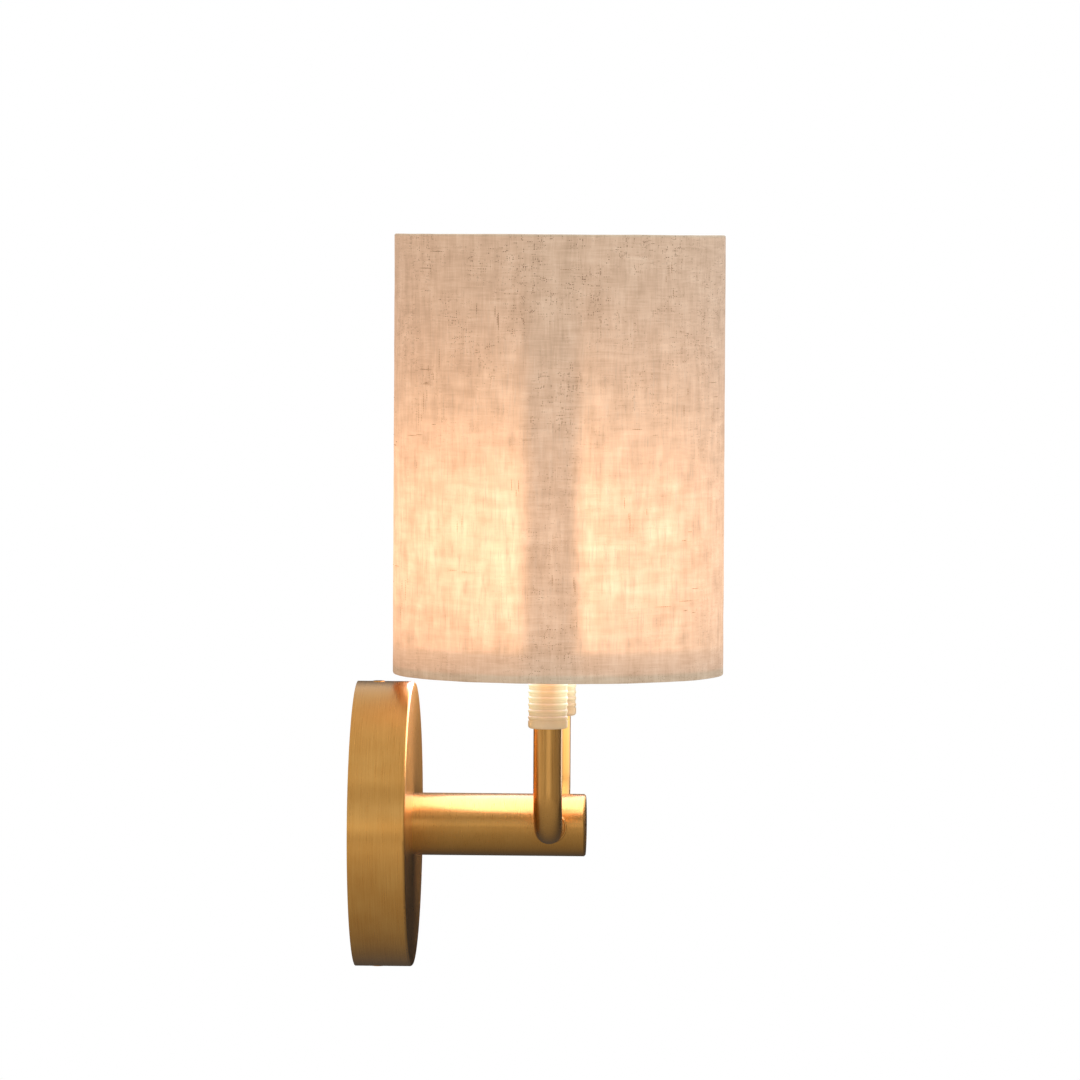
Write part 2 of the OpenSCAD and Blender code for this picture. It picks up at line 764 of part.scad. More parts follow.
wall_bracket();
backplate_cover();
cover_screws();
earth_screw();
terminal_block();
terminal_screws();
arm_tube();
arm_root_plug();
arm_nipple();
arm_washer();
arm_lock_nut();
arm_end_cap();
elbow_tube();  // left_elbow_tube
mirror([0, 1, 0]) elbow_tube();  // right_elbow_tube
elbow_bushes();
holder_nipples();
at_left() lampholder();  // left_lampholder
at_right() lampholder();  // right_lampholder
at_left() socket_insert();  // left_socket_insert
at_right() socket_insert();  // right_socket_insert
at_left() screw_shell();  // left_screw_shell
at_right() screw_shell();  // right_screw_shell
at_left() centre_contact();  // left_centre_contact
at_right() centre_contact();  // right_centre_contact
at_left() lamp_base();  // left_lamp_base
at_right() lamp_base();  // right_lamp_base
at_left() lamp_glass();  // left_lamp_glass
at_right() lamp_glass();  // right_lamp_glass
at_left() lamp_strips();  // left_lamp_strips
at_right() lamp_strips();  // right_lamp_strips
shade_linen();
shade_liner();
shade_top_ring();
shade_bottom_ring();
shade_fitter();
at_left() ring_nut();  // left_ring_nut
at_right() ring_nut();  // right_ring_nut
lead();  // left_lead
mirror([0, 1, 0]) lead();  // right_lead
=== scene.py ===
"""Looks of a lit two-light wall sconce: a linen drum shade on milky lampholders and satin brass tubes."""

import json
import math
import random

import bpy
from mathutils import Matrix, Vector
from mathutils.bvhtree import BVHTree


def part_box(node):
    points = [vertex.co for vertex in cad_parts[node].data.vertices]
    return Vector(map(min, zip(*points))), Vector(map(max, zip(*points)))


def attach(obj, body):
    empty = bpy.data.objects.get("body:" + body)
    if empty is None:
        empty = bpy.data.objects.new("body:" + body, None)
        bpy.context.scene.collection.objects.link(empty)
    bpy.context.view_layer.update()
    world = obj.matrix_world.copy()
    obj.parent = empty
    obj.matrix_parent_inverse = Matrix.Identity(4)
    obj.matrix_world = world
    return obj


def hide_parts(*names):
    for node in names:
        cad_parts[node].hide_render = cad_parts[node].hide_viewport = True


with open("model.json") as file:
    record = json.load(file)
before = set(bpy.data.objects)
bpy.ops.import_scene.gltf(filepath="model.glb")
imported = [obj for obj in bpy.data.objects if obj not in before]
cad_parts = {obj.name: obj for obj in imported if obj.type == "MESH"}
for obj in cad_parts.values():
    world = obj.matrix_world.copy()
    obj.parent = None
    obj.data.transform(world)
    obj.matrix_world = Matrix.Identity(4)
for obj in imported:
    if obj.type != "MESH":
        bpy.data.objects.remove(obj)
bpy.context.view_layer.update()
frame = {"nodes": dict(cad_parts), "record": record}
nodes = frame["nodes"]

# Sizes taken from the frame, in metres
linen_low, linen_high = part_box("shade_linen")
ring_low, ring_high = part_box("shade_bottom_ring")
upper_ring_low, upper_ring_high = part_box("shade_top_ring")
liner_low, liner_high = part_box("shade_liner")
arm_low, arm_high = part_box("arm_tube")
holder_low, holder_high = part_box("left_lampholder")
glass_low, glass_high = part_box("left_lamp_glass")
elbow_low, elbow_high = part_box("left_elbow_tube")
fitter_low, fitter_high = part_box("shade_fitter")

SHADE_X = (linen_low.x + linen_high.x) / 2
SHADE_R = (linen_high.y - linen_low.y) / 2
SHADE_BOTTOM = linen_low.z
SHADE_TOP = linen_high.z
LINEN_T = SHADE_R - (liner_high.y - liner_low.y) / 2
LINER_T = (liner_high.y - liner_low.y) / 2 - (ring_high.y - ring_low.y) / 2
HOLDER_X = (holder_low.x + holder_high.x) / 2
HOLDER_Y = (holder_low.y + holder_high.y) / 2
ARM_R = (arm_high.z - arm_low.z) / 2
TUBE_R = (elbow_high.x - elbow_low.x) / 2

# The ribbed body of a holder, which is narrower than its flange
HOLDER_R = 0.011

# How the cloth is folded, woven and rippled
HEM_LOW = 0.017
HEM_TOP = 0.012
FOLD_EDGE_R = 0.0009
THREAD_PITCH = 0.00066
SEAM_LAP = 0.012
SEAM_STEP = 0.00035
SLIT_HALF = 0.0055
SLUB_R = 0.00017
SLUB_GROUPS = 64
RIPPLE_HEIGHT = 0.0004
RIPPLE_SIZE = 0.022

# How the lamps light the cloth, by height over its lower edge
GLOW_MIDDLE = 0.073
GLOW_SPREAD = 0.080
GLOW_PEAK = 0.72
STREWN_GLOW = 0.06


def select_none():
    """Leaves nothing selected, so that an operator acts only on what is added next."""
    if bpy.context.object and bpy.context.object.mode != "OBJECT":
        bpy.ops.object.mode_set(mode="OBJECT")
    bpy.ops.object.select_all(action="DESELECT")


class Finish:
    """A surface finish: a material whose nodes are put in one by one."""

    def __init__(self, name):
        self.material = bpy.data.materials.new(name)
        self.material.use_nodes = True
        self.tree = self.material.node_tree
        self.surface = self.tree.nodes["Principled BSDF"]

    def put(self, socket, value):
        """Links a socket to another, or sets it to a plain number or colour."""
        if isinstance(value, bpy.types.NodeSocket):
            self.tree.links.new(value, socket)
        else:
            socket.default_value = value

    def node(self, kind, values=None, **settings):
        node = self.tree.nodes.new("ShaderNode" + kind)
        for key, value in settings.items():
            setattr(node, key, value)
        for key, value in (values or {}).items():
            self.put(node.inputs[key], value)
        return node

    def shade(self, **sockets):
        """Sets the surface's own sockets; an underscore in a name stands for a space."""
        for key, value in sockets.items():
            self.put(self.surface.inputs[key.replace("_", " ")], value)

    def math(self, operation, *values):
        node = self.node("Math", operation=operation)
        for i, value in enumerate(values):
            self.put(node.inputs[i], value)
        return node.outputs[0]

    def place(self):
        """The point on the piece, as x, y and z in metres."""
        split = self.node("SeparateXYZ", {"Vector": self.node("TexCoord").outputs["Object"]})
        return split.outputs[0], split.outputs[1], split.outputs[2]

    def point(self, x=0.0, y=0.0, z=0.0):
        return self.node("CombineXYZ", {"X": x, "Y": y, "Z": z}).outputs[0]

    def noise(self, point, scale=1.0, detail=2.0, roughness=0.5):
        values = {"Vector": point, "Scale": scale, "Detail": detail, "Roughness": roughness}
        return self.node("TexNoise", values).outputs["Fac"]

    def span(self, value, low, high, to_low=0.0, to_high=1.0, smooth=False):
        """Maps low to high onto two other numbers, and holds the ends."""
        node = self.node("MapRange", interpolation_type="SMOOTHSTEP" if smooth else "LINEAR")
        for key, number in (("Value", value), ("From Min", low), ("From Max", high),
                            ("To Min", to_low), ("To Max", to_high)):
            self.put(node.inputs[key], number)
        return node.outputs["Result"]

    def ramp(self, value, stops):
        """A run of colours along a value; each stop is a place and a colour."""
        node = self.node("ValToRGB", {"Fac": value})
        elements = node.color_ramp.elements
        while len(elements) < len(stops):
            elements.new(0.5)
        while len(elements) > len(stops):
            elements.remove(elements[-1])
        for element, (place, colour) in zip(elements, stops):
            element.position = place
            element.color = colour
        return node.outputs["Color"]

    def mix(self, share, first, second, blend="MIX"):
        node = self.node("Mix", data_type="RGBA", blend_type=blend)
        self.put(node.inputs[0], share)
        self.put(node.inputs[6], first)
        self.put(node.inputs[7], second)
        return node.outputs[2]

    def bump(self, height, distance, strength=1.0):
        values = {"Height": height, "Distance": distance, "Strength": strength}
        return self.node("Bump", values).outputs["Normal"]


def grey(level):
    return (level, level, level, 1.0)


def warm(red, green, blue):
    """A colour as it is seen on a screen, from 0 to 255, as the shader's light values."""
    return tuple(((c / 255 + 0.055) / 1.055) ** 2.4 for c in (red, green, blue)) + (1.0,)


# Metal finishes

BRASS_PALE = warm(232, 177, 94)
BRASS_DEEP = warm(215, 154, 70)
# Painted shade: a darker copy of the plate's brass for the elbow tubes and their braze beads
TUBE_SHADED_PALE = warm(216, 163, 86)
TUBE_SHADED_DEEP = warm(204, 148, 72)
# Painted shade: a darker copy of the plate's brass for the arm, which lies in more shade than the plate's rim
ARM_SHADED_PALE = warm(206, 154, 76)
ARM_SHADED_DEEP = warm(196, 141, 62)


def turned_streaks(finish):
    """Brush lines that run round the arm's axis, as a lathe leaves them on rim, face and tube."""
    fine = 2600.0
    x, y, z = finish.place()
    squares = finish.math("ADD", finish.math("MULTIPLY", y, y), finish.math("MULTIPLY", z, z))
    radius = finish.math("SQRT", squares)
    angle = finish.math("ARCTAN2", y, z)
    across = finish.math("ADD", x, radius)
    point = finish.point(finish.math("MULTIPLY", across, fine), finish.math("MULTIPLY", angle, 3.0),
                         finish.math("MULTIPLY", finish.math("SUBTRACT", x, radius), fine * 0.3))
    return finish.noise(point, 1.0, 3.0, 0.6)


def drawn_streaks(finish, x, y, z):
    """Brush lines along a bent tube: lying where it leaves the arm, upright above its bend."""
    fine = 2400.0
    coarse = 30.0

    def lines(scale_y, scale_z):
        point = finish.point(finish.math("MULTIPLY", x, fine), finish.math("MULTIPLY", y, scale_y),
                             finish.math("MULTIPLY", z, scale_z))
        return finish.noise(point, 1.0, 3.0, 0.6)

    upright = lines(fine, coarse)
    lying = lines(coarse, fine)
    share = finish.span(z, 0.008, 0.02, smooth=True)
    blend = finish.node("Mix", data_type="FLOAT")
    finish.put(blend.inputs[0], share)
    finish.put(blend.inputs[2], lying)
    finish.put(blend.inputs[3], upright)
    return blend.outputs[0]


def satin_brass(name, deep, pale, turned=True):
    """Brushed, lacquered brass with fine lines and a slight cloudiness."""
    finish = Finish(name)
    x, y, z = finish.place()
    if turned:
        streaks = turned_streaks(finish)
    else:
        streaks = drawn_streaks(finish, x, y, z)
    cloud = finish.noise(finish.point(x, y, z), 45.0, 3.0, 0.55)
    tone = finish.math("ADD", finish.math("MULTIPLY", streaks, 0.6), finish.math("MULTIPLY", cloud, 0.4))
    colour = finish.ramp(tone, [(0.36, deep), (0.64, pale)])
    roughness = finish.span(streaks, 0.25, 0.75, 0.25, 0.36)
    finish.shade(Base_Color=colour, Metallic=1.0, Roughness=roughness, Coat_Weight=0.6, Coat_Roughness=0.25,
                 Normal=finish.bump(streaks, 0.00002, 0.26))
    if turned:
        finish.shade(Anisotropic=0.55, Anisotropic_Rotation=0.25)
        finish.shade(Tangent=finish.node("Tangent", direction_type="RADIAL", axis="X").outputs[0])
    return finish.material


def bare_brass():
    """Turned brass without lacquer: paler, with fine lathe rings and small dull spots."""
    finish = Finish("bare_brass")
    x, y, z = finish.place()
    rings = finish.noise(finish.point(finish.math("MULTIPLY", x, 1500.0), finish.math("MULTIPLY", y, 60.0),
                                      finish.math("MULTIPLY", z, 1500.0)), 1.0, 2.0)
    spots = finish.noise(finish.point(x, y, z), 260.0, 4.0, 0.6)
    colour = finish.ramp(spots, [(0.35, warm(176, 134, 66)), (0.6, warm(214, 176, 102))])
    finish.shade(Base_Color=colour, Metallic=1.0, Roughness=finish.span(rings, 0.3, 0.7, 0.22, 0.42),
                 Normal=finish.bump(rings, 0.00003, 0.5))
    return finish.material


def zinc_steel():
    """Zinc-plated sheet with faint crystals and a bluish and straw-coloured tint."""
    finish = Finish("zinc_steel")
    x, y, z = finish.place()
    point = finish.point(x, y, z)
    crystals = finish.node("TexVoronoi", {"Vector": point, "Scale": 420.0}).outputs["Color"]
    tint = finish.noise(point, 38.0, 3.0)
    colour = finish.ramp(tint, [(0.35, warm(176, 182, 190)), (0.65, warm(200, 196, 180))])
    colour = finish.mix(0.12, colour, crystals, "SOFT_LIGHT")
    finish.shade(Base_Color=colour, Metallic=1.0,
                 Roughness=finish.span(finish.noise(point, 300.0, 3.0), 0.3, 0.7, 0.3, 0.48),
                 Normal=finish.bump(finish.noise(point, 900.0, 2.0), 0.00002, 0.5))
    return finish.material


def nickel_base():
    """Rolled nickel of a lamp's screw base, a little tarnished in patches."""
    finish = Finish("nickel_base")
    x, y, z = finish.place()
    tarnish = finish.noise(finish.point(x, y, z), 320.0, 4.0, 0.6)
    colour = finish.ramp(tarnish, [(0.35, warm(168, 160, 146)), (0.6, warm(214, 210, 202))])
    finish.shade(Base_Color=colour, Metallic=1.0, Roughness=finish.span(tarnish, 0.3, 0.7, 0.35, 0.18))
    return finish.material


# Plastic, ceramic and glass finishes

def ivory_plastic():
    """Matt moulded plastic of the terminal block with a fine spark-eroded grain."""
    finish = Finish("ivory_plastic")
    x, y, z = finish.place()
    point = finish.point(x, y, z)
    grain = finish.noise(point, 1800.0, 2.0)
    cloud = finish.noise(point, 60.0, 2.0)
    colour = finish.ramp(cloud, [(0.3, warm(226, 218, 196)), (0.7, warm(238, 231, 212))])
    finish.shade(Base_Color=colour, Roughness=finish.span(grain, 0.3, 0.7, 0.48, 0.62),
                 Normal=finish.bump(grain, 0.00003, 0.6))
    return finish.material


def white_ceramic():
    """Glazed insulating insert with a few dark specks in the glaze."""
    finish = Finish("white_ceramic")
    x, y, z = finish.place()
    specks = finish.noise(finish.point(x, y, z), 900.0, 2.0)
    colour = finish.ramp(specks, [(0.26, warm(150, 140, 128)), (0.3, warm(238, 236, 230))])
    finish.shade(Base_Color=colour, Roughness=finish.span(specks, 0.3, 0.7, 0.16, 0.26), Coat_Weight=0.4)
    return finish.material


def milky_holder():
    """Milky plastic that the lamp above lights from inside, painted in as a glow: stronger towards the top
    and near the shade, weaker in the grooves than on the ribs, brighter and paler on its sides towards the
    wall and the room.
    """
    finish = Finish("milky_holder")
    x, y, z = finish.place()
    side_x = finish.math("SUBTRACT", x, HOLDER_X)
    side_y = finish.math("SUBTRACT", finish.math("ABSOLUTE", y), abs(HOLDER_Y))
    radius = finish.math("SQRT", finish.math("ADD", finish.math("MULTIPLY", side_x, side_x),
                                             finish.math("MULTIPLY", side_y, side_y)))
    rib = finish.span(radius, HOLDER_R - 0.0004, HOLDER_R, smooth=True)
    flow = finish.noise(finish.point(x, y, finish.math("MULTIPLY", z, 0.35)), 120.0, 3.0, 0.5)
    # Painted highlight: the glow is brighter and paler on the sides towards the wall and the room
    turn = finish.math("ABSOLUTE", finish.math("DIVIDE", side_x, finish.math("MAXIMUM", radius, 0.001)))
    side = finish.span(turn, 0.15, 0.95, smooth=True)
    # Painted light: the glow grows towards the top, nearer the lamp
    height = finish.span(z, holder_low.z, holder_high.z - 0.012, smooth=True)
    glow = finish.mix(height, (0.17, 0.08, 0.0, 1.0), (0.59, 0.29, 0.06, 1.0))
    # Painted light: the sides' glow is paler and stronger just under the shade
    by_shade = finish.span(z, SHADE_BOTTOM - 0.024, SHADE_BOTTOM - 0.006, smooth=True)
    edge = finish.mix(by_shade, (0.20, 0.12, 0.02, 1.0), (0.57, 0.58, 0.32, 1.0))
    glow = finish.mix(side, glow, edge)
    # Painted shade: the glow is weaker in the grooves than on the ribs
    strength = finish.math("MULTIPLY", finish.span(flow, 0.3, 0.7, 0.92, 1.05),
                           finish.span(rib, 0.0, 1.0, 0.90, 1.03))
    colour = finish.ramp(flow, [(0.3, warm(184, 162, 138)), (0.7, warm(192, 171, 146))])
    finish.shade(Base_Color=colour, Roughness=finish.span(flow, 0.3, 0.7, 0.3, 0.4),
                 Emission_Color=glow, Emission_Strength=strength,
                 Normal=finish.bump(finish.noise(finish.point(x, y, z), 700.0, 2.0), 0.00003, 0.3))
    return finish.material


def lamp_glass():
    """Frosted glass of a lit lamp: brightest where the strips stand, dimmer at its neck and tip."""
    finish = Finish("lamp_glass")
    x, y, z = finish.place()
    frost = finish.noise(finish.point(x, y, z), 1400.0, 3.0, 0.6)
    low = glass_low.z + 0.012
    high = glass_high.z - 0.012
    core = finish.math("MULTIPLY", finish.span(z, low, low + 0.03, 0.25, 1.0, smooth=True),
                       finish.span(z, high - 0.03, high, 1.0, 0.35, smooth=True))
    finish.shade(Base_Color=finish.ramp(frost, [(0.3, warm(255, 244, 224)), (0.7, warm(255, 250, 240))]),
                 Roughness=finish.span(frost, 0.3, 0.7, 0.25, 0.45), Transmission_Weight=0.55, IOR=1.45,
                 Emission_Color=warm(255, 220, 158), Emission_Strength=finish.math("MULTIPLY", core, 0.28))
    return finish.material


def light_strip():
    """Coated light strip: a row of bright chips along a yellow ribbon."""
    finish = Finish("light_strip")
    x, y, z = finish.place()
    chip_pitch = 0.0028
    chips = finish.math("SINE", finish.math("MULTIPLY", z, 2 * math.pi / chip_pitch))
    bright = finish.span(chips, -0.2, 0.6, 0.8, 1.8, smooth=True)
    coat = finish.noise(finish.point(x, y, z), 400.0)
    colour = finish.ramp(coat, [(0.3, warm(238, 190, 84)), (0.7, warm(248, 210, 110))])
    finish.shade(Base_Color=colour, Roughness=0.5, Emission_Color=warm(255, 206, 128),
                 Emission_Strength=bright)
    return finish.material


def lead_sheath():
    """Woven glass-fibre sleeve over the two wires of a lead."""
    finish = Finish("lead_sheath")
    x, y, z = finish.place()
    along = finish.math("ADD", z, x)
    twill = finish.math("SINE", finish.math("MULTIPLY", finish.math("ADD", along, y), 5200.0))
    cross = finish.math("SINE", finish.math("MULTIPLY", finish.math("SUBTRACT", along, y), 5200.0))
    braid = finish.math("MULTIPLY", twill, cross)
    colour = finish.ramp(finish.span(braid, -1.0, 1.0),
                         [(0.2, warm(188, 184, 174)), (0.8, warm(232, 230, 224))])
    finish.shade(Base_Color=colour, Roughness=0.55, Normal=finish.bump(braid, 0.0001, 0.6))
    return finish.material


def ring_steel():
    """Pale grey powder coat on wire and bar, with its fine orange-peel."""
    finish = Finish("ring_steel")
    x, y, z = finish.place()
    peel = finish.noise(finish.point(x, y, z), 1100.0, 2.0)
    colour = finish.ramp(peel, [(0.3, warm(160, 155, 144)), (0.7, warm(172, 167, 156))])
    finish.shade(Base_Color=colour, Roughness=finish.span(peel, 0.3, 0.7, 0.34, 0.46),
                 Normal=finish.bump(peel, 0.00004, 0.5))
    return finish.material


# The shade's cloth and liner

def bell(finish, value, middle, spread):
    """A soft hump along a value: 1 in the middle, falling off on both sides."""
    part = finish.math("DIVIDE", finish.math("SUBTRACT", value, middle), spread)
    return finish.math("EXPONENT", finish.math("MULTIPLY", finish.math("MULTIPLY", part, part), -1.0))


def lamp_glow(finish, x, y, z):
    """How strongly the lamps light the shade's wall from inside, from 0 to about 0.8.

    It is strongest at the lamps' middle. Facing each lamp the other lamp's light is cut off by
    that lamp, which leaves an upright darker band. The second value is that band: 0.17 in it,
    1 beside it."""
    side = finish.math("SUBTRACT", x, SHADE_X)
    height = bell(finish, z, SHADE_BOTTOM + GLOW_MIDDLE, GLOW_SPREAD)
    wander = finish.noise(finish.point(finish.math("MULTIPLY", x, 0.3), y, z), 45.0, 2.0)
    across = finish.math("ADD", finish.math("ABSOLUTE", side), finish.span(wander, 0.3, 0.7, -0.001, 0.001))
    past_band = finish.span(across, 0.0085, 0.0215, 0.17, 1.0, smooth=True)
    to_wall = finish.span(side, -SHADE_R, -0.35 * SHADE_R, 0.80, 1.0)
    to_room = finish.span(side, 0.1 * SHADE_R, 0.48 * SHADE_R, 1.0, 0.76, smooth=True)
    at_edge = finish.span(side, 0.68 * SHADE_R, SHADE_R, 1.0, 0.58)
    falloff = finish.math("MULTIPLY", finish.math("MULTIPLY", to_wall, to_room), at_edge)
    lit = finish.math("MULTIPLY", finish.math("MULTIPLY", falloff, past_band), height)
    wide = bell(finish, z, SHADE_BOTTOM + GLOW_MIDDLE, 1.8 * GLOW_SPREAD)
    strewn = finish.math("MULTIPLY", STREWN_GLOW, wide)
    return finish.math("ADD", finish.math("MULTIPLY", GLOW_PEAK, lit), strewn), past_band


def linen():
    """Natural plain-weave linen with slubs, cloudy patches and dark flecks, lit from inside."""
    finish = Finish("linen")
    split = finish.node("SeparateXYZ", {"Vector": finish.node("UVMap", uv_map="cloth").outputs[0]})
    round_it, up_it = split.outputs[0], split.outputs[1]
    x, y, z = finish.place()

    def cloth_noise(round_scale, up_scale, layer=0.0, detail=2.0):
        """Noise that is stretched along one thread direction; scales are per metre."""
        point = finish.point(finish.math("MULTIPLY", round_it, round_scale),
                             finish.math("MULTIPLY", up_it, up_scale), layer)
        return finish.noise(point, 1.0, detail, 0.55)

    def thread_noise(row, along, scale, layer=0.0):
        """Noise of its own on each thread, which changes along it."""
        point = finish.point(finish.math("MULTIPLY", row, 7.31), finish.math("MULTIPLY", along, scale), layer)
        return finish.noise(point, 1.0, 2.0, 0.6)

    # Threads of uneven thickness wander a little and cross over and under
    sway = finish.span(cloth_noise(60.0, 40.0, 2.0, 3.0), 0.2, 0.8, -1.6, 1.6)
    warp = finish.math("ADD", finish.math("DIVIDE", round_it, THREAD_PITCH), sway)
    sway = finish.span(cloth_noise(40.0, 60.0, 7.0, 3.0), 0.2, 0.8, -1.6, 1.6)
    weft = finish.math("ADD", finish.math("DIVIDE", up_it, THREAD_PITCH), sway)
    warp_row = finish.math("FLOOR", warp)
    weft_row = finish.math("FLOOR", weft)
    warp_round = finish.math("ABSOLUTE", finish.math("SINE", finish.math("MULTIPLY", warp, math.pi)))
    weft_round = finish.math("ABSOLUTE", finish.math("SINE", finish.math("MULTIPLY", weft, math.pi)))
    over = finish.math("MULTIPLY", finish.math("COSINE", finish.math("MULTIPLY", warp_row, math.pi)),
                       finish.math("COSINE", finish.math("MULTIPLY", weft_row, math.pi)))
    warp_over = finish.math("MULTIPLY", warp_round, finish.span(over, -1.0, 1.0, 0.45, 1.0))
    weft_over = finish.math("MULTIPLY", weft_round, finish.span(over, -1.0, 1.0, 1.0, 0.45))
    weave = finish.math("MAXIMUM", warp_over, weft_over)
    warp_slub = thread_noise(warp_row, up_it, 62.0)
    weft_slub = thread_noise(weft_row, round_it, 55.0, 3.0)

    # Blocks where threads of one thickness meet, and long soft bars along them
    cloud = cloth_noise(80.0, 60.0, 0.0, 2.0)
    upright = cloth_noise(230.0, 30.0, 5.0)
    lying = cloth_noise(36.0, 210.0, 6.0)
    fine_bars = cloth_noise(820.0, 60.0, 8.0)

    # Dark husk flecks sit on the crossings of single threads, in loose clusters
    glow, past_band = lamp_glow(finish, x, y, z)
    cluster = finish.span(cloth_noise(42.0, 36.0, 11.0), 0.40, 0.57)
    warp_shows = finish.span(finish.math("SUBTRACT", warp_over, weft_over), 0.0, 0.4)
    weft_shows = finish.span(finish.math("SUBTRACT", weft_over, warp_over), 0.0, 0.4)
    warp_dash = finish.span(thread_noise(warp_row, up_it, 170.0, 9.0), 0.59, 0.67)
    warp_dash = finish.math("MULTIPLY", warp_dash, warp_shows)
    weft_dash = finish.span(thread_noise(weft_row, round_it, 190.0, 4.0), 0.58, 0.66)
    weft_dash = finish.math("MULTIPLY", weft_dash, weft_shows)
    fleck = finish.math("MULTIPLY", finish.math("MAXIMUM", warp_dash, weft_dash), cluster)
    fleck = finish.math("MULTIPLY", fleck, finish.span(glow, 0.05, 0.5, 1.0, 0.3))

    tone = finish.math("ADD", finish.math("MULTIPLY", cloud, 0.26), finish.math("MULTIPLY", upright, 0.17))
    tone = finish.math("ADD", tone, finish.math("MULTIPLY", lying, 0.17))
    tone = finish.math("ADD", tone, finish.math("MULTIPLY", finish.math("ADD", warp_slub, weft_slub), 0.20))
    side = finish.math("SUBTRACT", x, SHADE_X)
    colour = finish.ramp(tone, [(0.38, warm(197, 171, 146)), (0.5, warm(217, 191, 166)),
                                (0.62, warm(232, 209, 185))])
    # Painted light: the cloth is darker and warmer towards the wall, paler and cooler towards the room
    tint = finish.ramp(finish.span(side, -SHADE_R, SHADE_R),
                       [(0.0, (0.97, 0.82, 0.72, 1.0)), (0.5, (0.97, 0.915, 0.875, 1.0)),
                        (1.0, (1.02, 0.99, 0.98, 1.0))])
    colour = finish.mix(1.0, colour, tint, "MULTIPLY")
    # Painted shade: the cloth is darker in the gaps between the threads
    colour = finish.mix(finish.span(weave, 0.2, 0.95, 0.24, 0.0), colour, warm(150, 120, 96))
    colour = finish.mix(finish.math("MULTIPLY", fleck, 0.80), colour, warm(96, 70, 48))
    # Painted shade: the cloth over each ring is greyer and less warm, where the ring holds back the lamps'
    # light
    low_ring = finish.span(z, ring_high.z - 0.0016, ring_high.z + 0.0012, 1.0, 0.0, smooth=True)
    top_ring = finish.span(z, upper_ring_high.z - 0.0010, upper_ring_high.z + 0.0002, smooth=True)
    ring_shade_share = finish.math("MAXIMUM", low_ring, top_ring)
    colour = finish.mix(ring_shade_share, colour, (0.86, 0.96, 0.98, 1.0), "MULTIPLY")

    glow = finish.math("MULTIPLY", glow, finish.span(cloud, 0.3, 0.7, 0.86, 1.12))
    glow = finish.math("MULTIPLY", glow, finish.span(upright, 0.32, 0.68, 0.90, 1.08))
    glow = finish.math("MULTIPLY", glow, finish.span(lying, 0.32, 0.68, 0.92, 1.07))
    glow = finish.math("MULTIPLY", glow, finish.span(fine_bars, 0.55, 0.72, 1.02, 0.68))
    glow = finish.math("MULTIPLY", glow, finish.span(warp_slub, 0.55, 0.75, 1.02, 0.84))
    glow = finish.math("MULTIPLY", glow, finish.span(weft_slub, 0.55, 0.75, 1.01, 0.91))
    single = finish.span(z, SHADE_BOTTOM + HEM_LOW - 0.0030, SHADE_BOTTOM + HEM_LOW + 0.0025, smooth=True)
    folded = finish.math("SUBTRACT", 1.0, single)
    # Painted light: the folded lower hem glows a little, more towards the wall
    hem_glow = finish.span(side, -0.9 * SHADE_R, -0.3 * SHADE_R, 0.29, 0.20, smooth=True)
    hem_glow = finish.math("MULTIPLY", hem_glow, finish.span(past_band, 0.0, 1.0, 0.35, 1.0))
    hem_glow = finish.math("MULTIPLY", hem_glow,
                         finish.span(z, SHADE_BOTTOM + 0.003, SHADE_BOTTOM + HEM_LOW, 0.25, 1.0))
    glow = finish.math("ADD", finish.math("MULTIPLY", glow, single), finish.math("MULTIPLY", hem_glow, folded))
    hue = finish.ramp(glow, [(0.0, (1.0, 0.28, 0.04, 1.0)), (0.22, (1.0, 0.42, 0.15, 1.0)),
                             (0.75, (1.0, 0.53, 0.26, 1.0))])
    finish.shade(Base_Color=colour, Roughness=0.92, Sheen_Weight=0.05, Sheen_Roughness=0.6,
                 Sheen_Tint=warm(240, 225, 205), Specular_IOR_Level=0.2,
                 Emission_Color=hue, Emission_Strength=glow,
                 Normal=finish.bump(weave, 0.0001, 0.45))
    return finish.material


def slub_thread():
    """A thick place in a thread, which the weave crosses again and again: a row of brown dots."""
    finish = Finish("slub_thread")
    x, y, z = finish.place()
    point = finish.point(x, y, z)
    fibre = finish.noise(point, 1600.0, 3.0, 0.6)
    age = finish.noise(point, 70.0, 2.0)
    colour = finish.mix(finish.span(age, 0.35, 0.65), warm(120, 90, 64), warm(168, 134, 102))
    colour = finish.mix(finish.span(fibre, 0.35, 0.65, 0.35, 0.0), colour, warm(92, 68, 46))
    glow = lamp_glow(finish, x, y, z)[0]
    finish.shade(Base_Color=colour, Roughness=0.95, Specular_IOR_Level=0.2,
                 Emission_Color=(1.0, 0.42, 0.14, 1.0), Emission_Strength=finish.math("MULTIPLY", glow, 0.62),
                 Normal=finish.bump(fibre, 0.00005, 0.5))
    return finish.material


def shade_liner():
    """Translucent liner, which the lamps light: warm white near them, dimmer near the top."""
    finish = Finish("shade_liner")
    x, y, z = finish.place()
    fibre = finish.noise(finish.point(x, y, z), 500.0, 4.0, 0.6)
    height = finish.math("MULTIPLY", finish.span(z, SHADE_BOTTOM, SHADE_BOTTOM + 0.05, 0.8, 1.0, smooth=True),
                         finish.span(z, SHADE_BOTTOM + 0.1, SHADE_TOP, 1.0, 0.25, smooth=True))
    glow = finish.math("MULTIPLY", height, finish.span(fibre, 0.3, 0.7, 0.95, 1.05))
    finish.shade(Base_Color=finish.ramp(fibre, [(0.3, warm(196, 184, 164)), (0.7, warm(208, 197, 178))]),
                 Roughness=0.6, Emission_Color=warm(255, 198, 128),
                 Emission_Strength=finish.math("MULTIPLY", glow, 0.26))
    return finish.material


def arc(centre, radius, start, end, steps):
    """Points on an arc in the plane of radius and height, with the angles in degrees."""
    points = []
    for i in range(steps + 1):
        angle = math.radians(start + (end - start) * i / steps)
        points.append((centre[0] + radius * math.cos(angle), centre[1] + radius * math.sin(angle)))
    return points


